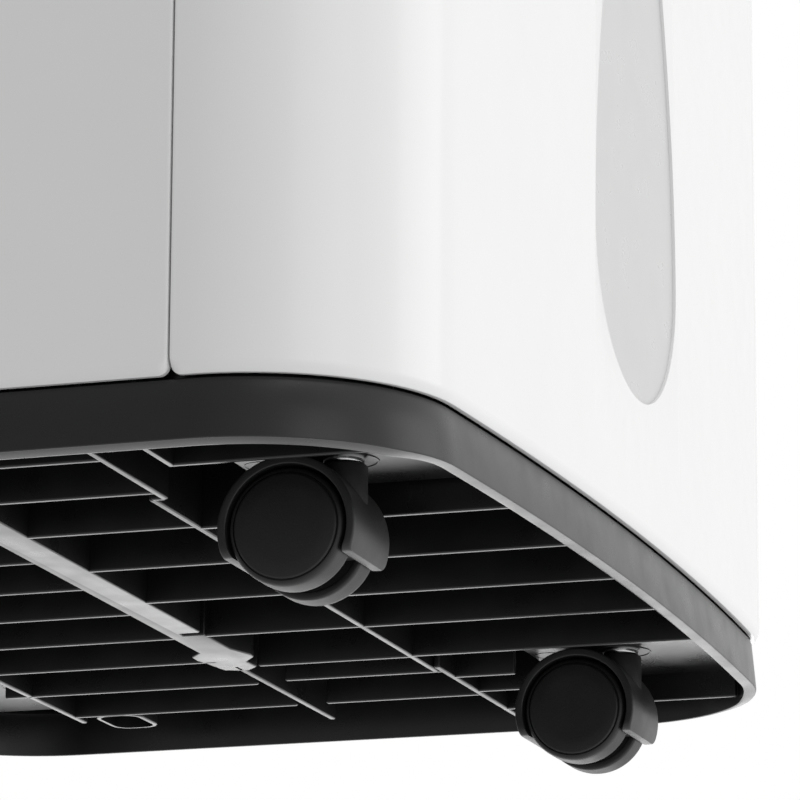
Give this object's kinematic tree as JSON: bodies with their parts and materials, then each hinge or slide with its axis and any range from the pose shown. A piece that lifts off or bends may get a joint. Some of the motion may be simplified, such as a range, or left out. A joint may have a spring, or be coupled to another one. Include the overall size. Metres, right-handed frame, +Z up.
{
  "type": "dehumidifier",
  "caption": "Portable dehumidifier with a pull-out water tank, drop-shaped level window, top controls and twin-wheel casters.",
  "frame": {"origin": "on the floor, under the middle of the casing", "axes": "+Z up, +X across to the right seen from the front, front faces -Y"},
  "size_m": [0.352, 0.2652, 0.545],
  "materials": {
    "base_black": "moulded, satin",
    "bright_steel": "zinc plated",
    "caster_black": "moulded nylon, satin",
    "wheel_black": "moulded nylon, fine grain",
    "casing_white": "gloss white",
    "casing_grey": "satin light grey",
    "window_grey": "satin translucent grey",
    "tank_clear": "translucent polypropylene",
    "foam_white": "foamed polystyrene",
    "frame_dark": "moulded",
    "mesh_blue": "woven nylon net",
    "coil_blue": "coated fins",
    "copper": "bare copper",
    "compressor_black": "black enamel",
    "soft_black": "matt rubber",
    "wheel_grey": "moulded",
    "board_green": "circuit board",
    "display_black": "smoked window",
    "button_white": "satin white"
  },
  "bodies": {
    "cabinet": {"base_pan": "base_black", "caster_sockets": "bright_steel", "body_shell": "casing_white", "front_panel": "casing_white", "top_cover": "casing_white", "side_grips": "casing_grey", "casing_screws": "bright_steel", "float_switch": "board_green", "evaporator_coil": "coil_blue", "condenser_coil": "bright_steel", "refrigerant_pipes": "copper", "compressor": "compressor_black", "compressor_feet": "soft_black", "compressor_bolts": "bright_steel", "capacitor": "bright_steel", "fan_shroud": "casing_grey", "fan_motor": "wheel_grey", "drip_tray": "foam_white", "mid_frame": "frame_dark", "bay_wall": "frame_dark", "power_board": "board_green", "control_panel": "casing_grey", "control_board": "board_green", "display_window": "display_black", "outlet_grille": "frame_dark", "cord_gland": "soft_black", "drain_spout": "casing_white"},
    "tank": {"tank_front": "casing_white", "level_window": "window_grey", "water_tank": "tank_clear", "tank_lid": "tank_clear", "tank_handle": "tank_clear"},
    "float": {"tank_float": "foam_white"},
    "filter": {"intake_grille": "casing_grey", "filter_frame": "frame_dark", "filter_mesh": "mesh_blue"},
    "fan": {"fan_wheel": "wheel_grey"},
    "louvre": {"outlet_louvre": "casing_white"},
    "plug": {"drain_plug": "soft_black"},
    "button_power": {"button_power": "button_white"},
    "button_mode": {"button_mode": "button_white"},
    "button_fan": {"button_fan": "button_white"},
    "button_timer": {"button_timer": "button_white"},
    "button_swing": {"button_swing": "button_white"},
    "caster_front_left": {"caster_hood_front_left": "caster_black", "caster_axle_front_left": "bright_steel"},
    "wheel_front_left_l": {"wheel_front_left_l": "wheel_black"},
    "wheel_front_left_r": {"wheel_front_left_r": "wheel_black"},
    "caster_front_right": {"caster_hood_front_right": "caster_black", "caster_axle_front_right": "bright_steel"},
    "wheel_front_right_l": {"wheel_front_right_l": "wheel_black"},
    "wheel_front_right_r": {"wheel_front_right_r": "wheel_black"},
    "caster_rear_left": {"caster_hood_rear_left": "caster_black", "caster_axle_rear_left": "bright_steel"},
    "wheel_rear_left_l": {"wheel_rear_left_l": "wheel_black"},
    "wheel_rear_left_r": {"wheel_rear_left_r": "wheel_black"},
    "caster_rear_right": {"caster_hood_rear_right": "caster_black", "caster_axle_rear_right": "bright_steel"},
    "wheel_rear_right_l": {"wheel_rear_right_l": "wheel_black"},
    "wheel_rear_right_r": {"wheel_rear_right_r": "wheel_black"}
  },
  "joints": [
    {"name": "tank_slide", "type": "slide", "parent": "cabinet", "child": "tank", "axis": [0, -1, 0], "range_m": [0, 0.2]},
    {"name": "float_rise", "type": "slide", "parent": "tank", "child": "float", "axis": [0, 0, 1], "range_m": [0, 0.024]},
    {"name": "filter_pull", "type": "slide", "parent": "cabinet", "child": "filter", "axis": [0, 1, 0], "range_m": [0, 0.1]},
    {"name": "fan_spin", "type": "hinge", "parent": "cabinet", "child": "fan", "pos_m": [0, 0, 0.404], "axis": [0, 1, 0], "continuous": true},
    {"name": "louvre_hinge", "type": "hinge", "parent": "cabinet", "child": "louvre", "pos_m": [0, 0.072, 0.539], "axis": [-1, 0, 0], "range_deg": [0, 70]},
    {"name": "plug_pull", "type": "slide", "parent": "cabinet", "child": "plug", "axis": [0, 1, 0], "range_m": [0, 0.03]},
    {"name": "press_power", "type": "slide", "parent": "cabinet", "child": "button_power", "axis": [0, 0, -1], "range_m": [0, 0.001], "stiffness_N_per_m": 500, "springref_m": -0.001},
    {"name": "press_mode", "type": "slide", "parent": "cabinet", "child": "button_mode", "axis": [0, 0, -1], "range_m": [0, 0.001], "stiffness_N_per_m": 500, "springref_m": -0.001},
    {"name": "press_fan", "type": "slide", "parent": "cabinet", "child": "button_fan", "axis": [0, 0, -1], "range_m": [0, 0.001], "stiffness_N_per_m": 500, "springref_m": -0.001},
    {"name": "press_timer", "type": "slide", "parent": "cabinet", "child": "button_timer", "axis": [0, 0, -1], "range_m": [0, 0.001], "stiffness_N_per_m": 500, "springref_m": -0.001},
    {"name": "press_swing", "type": "slide", "parent": "cabinet", "child": "button_swing", "axis": [0, 0, -1], "range_m": [0, 0.001], "stiffness_N_per_m": 500, "springref_m": -0.001},
    {"name": "swivel_front_left", "type": "hinge", "parent": "cabinet", "child": "caster_front_left", "pos_m": [-0.114, -0.0955, 0.03], "axis": [0, 0, 1], "continuous": true},
    {"name": "roll_front_left_l", "type": "hinge", "parent": "caster_front_left", "child": "wheel_front_left_l", "pos_m": [-0.114, -0.0862, 0.0135], "axis": [1, 0, 0], "continuous": true},
    {"name": "roll_front_left_r", "type": "hinge", "parent": "caster_front_left", "child": "wheel_front_left_r", "pos_m": [-0.114, -0.0862, 0.0135], "axis": [1, 0, 0], "continuous": true},
    {"name": "swivel_front_right", "type": "hinge", "parent": "cabinet", "child": "caster_front_right", "pos_m": [0.114, -0.0955, 0.03], "axis": [0, 0, 1], "continuous": true},
    {"name": "roll_front_right_l", "type": "hinge", "parent": "caster_front_right", "child": "wheel_front_right_l", "pos_m": [0.114, -0.0862, 0.0135], "axis": [1, 0, 0], "continuous": true},
    {"name": "roll_front_right_r", "type": "hinge", "parent": "caster_front_right", "child": "wheel_front_right_r", "pos_m": [0.114, -0.0862, 0.0135], "axis": [1, 0, 0], "continuous": true},
    {"name": "swivel_rear_left", "type": "hinge", "parent": "cabinet", "child": "caster_rear_left", "pos_m": [-0.114, 0.0955, 0.03], "axis": [0, 0, 1], "continuous": true},
    {"name": "roll_rear_left_l", "type": "hinge", "parent": "caster_rear_left", "child": "wheel_rear_left_l", "pos_m": [-0.114, 0.1048, 0.0135], "axis": [1, 0, 0], "continuous": true},
    {"name": "roll_rear_left_r", "type": "hinge", "parent": "caster_rear_left", "child": "wheel_rear_left_r", "pos_m": [-0.114, 0.1048, 0.0135], "axis": [1, 0, 0], "continuous": true},
    {"name": "swivel_rear_right", "type": "hinge", "parent": "cabinet", "child": "caster_rear_right", "pos_m": [0.114, 0.0955, 0.03], "axis": [0, 0, 1], "continuous": true},
    {"name": "roll_rear_right_l", "type": "hinge", "parent": "caster_rear_right", "child": "wheel_rear_right_l", "pos_m": [0.114, 0.1048, 0.0135], "axis": [1, 0, 0], "continuous": true},
    {"name": "roll_rear_right_r", "type": "hinge", "parent": "caster_rear_right", "child": "wheel_rear_right_r", "pos_m": [0.114, 0.1048, 0.0135], "axis": [1, 0, 0], "continuous": true}
  ]
}
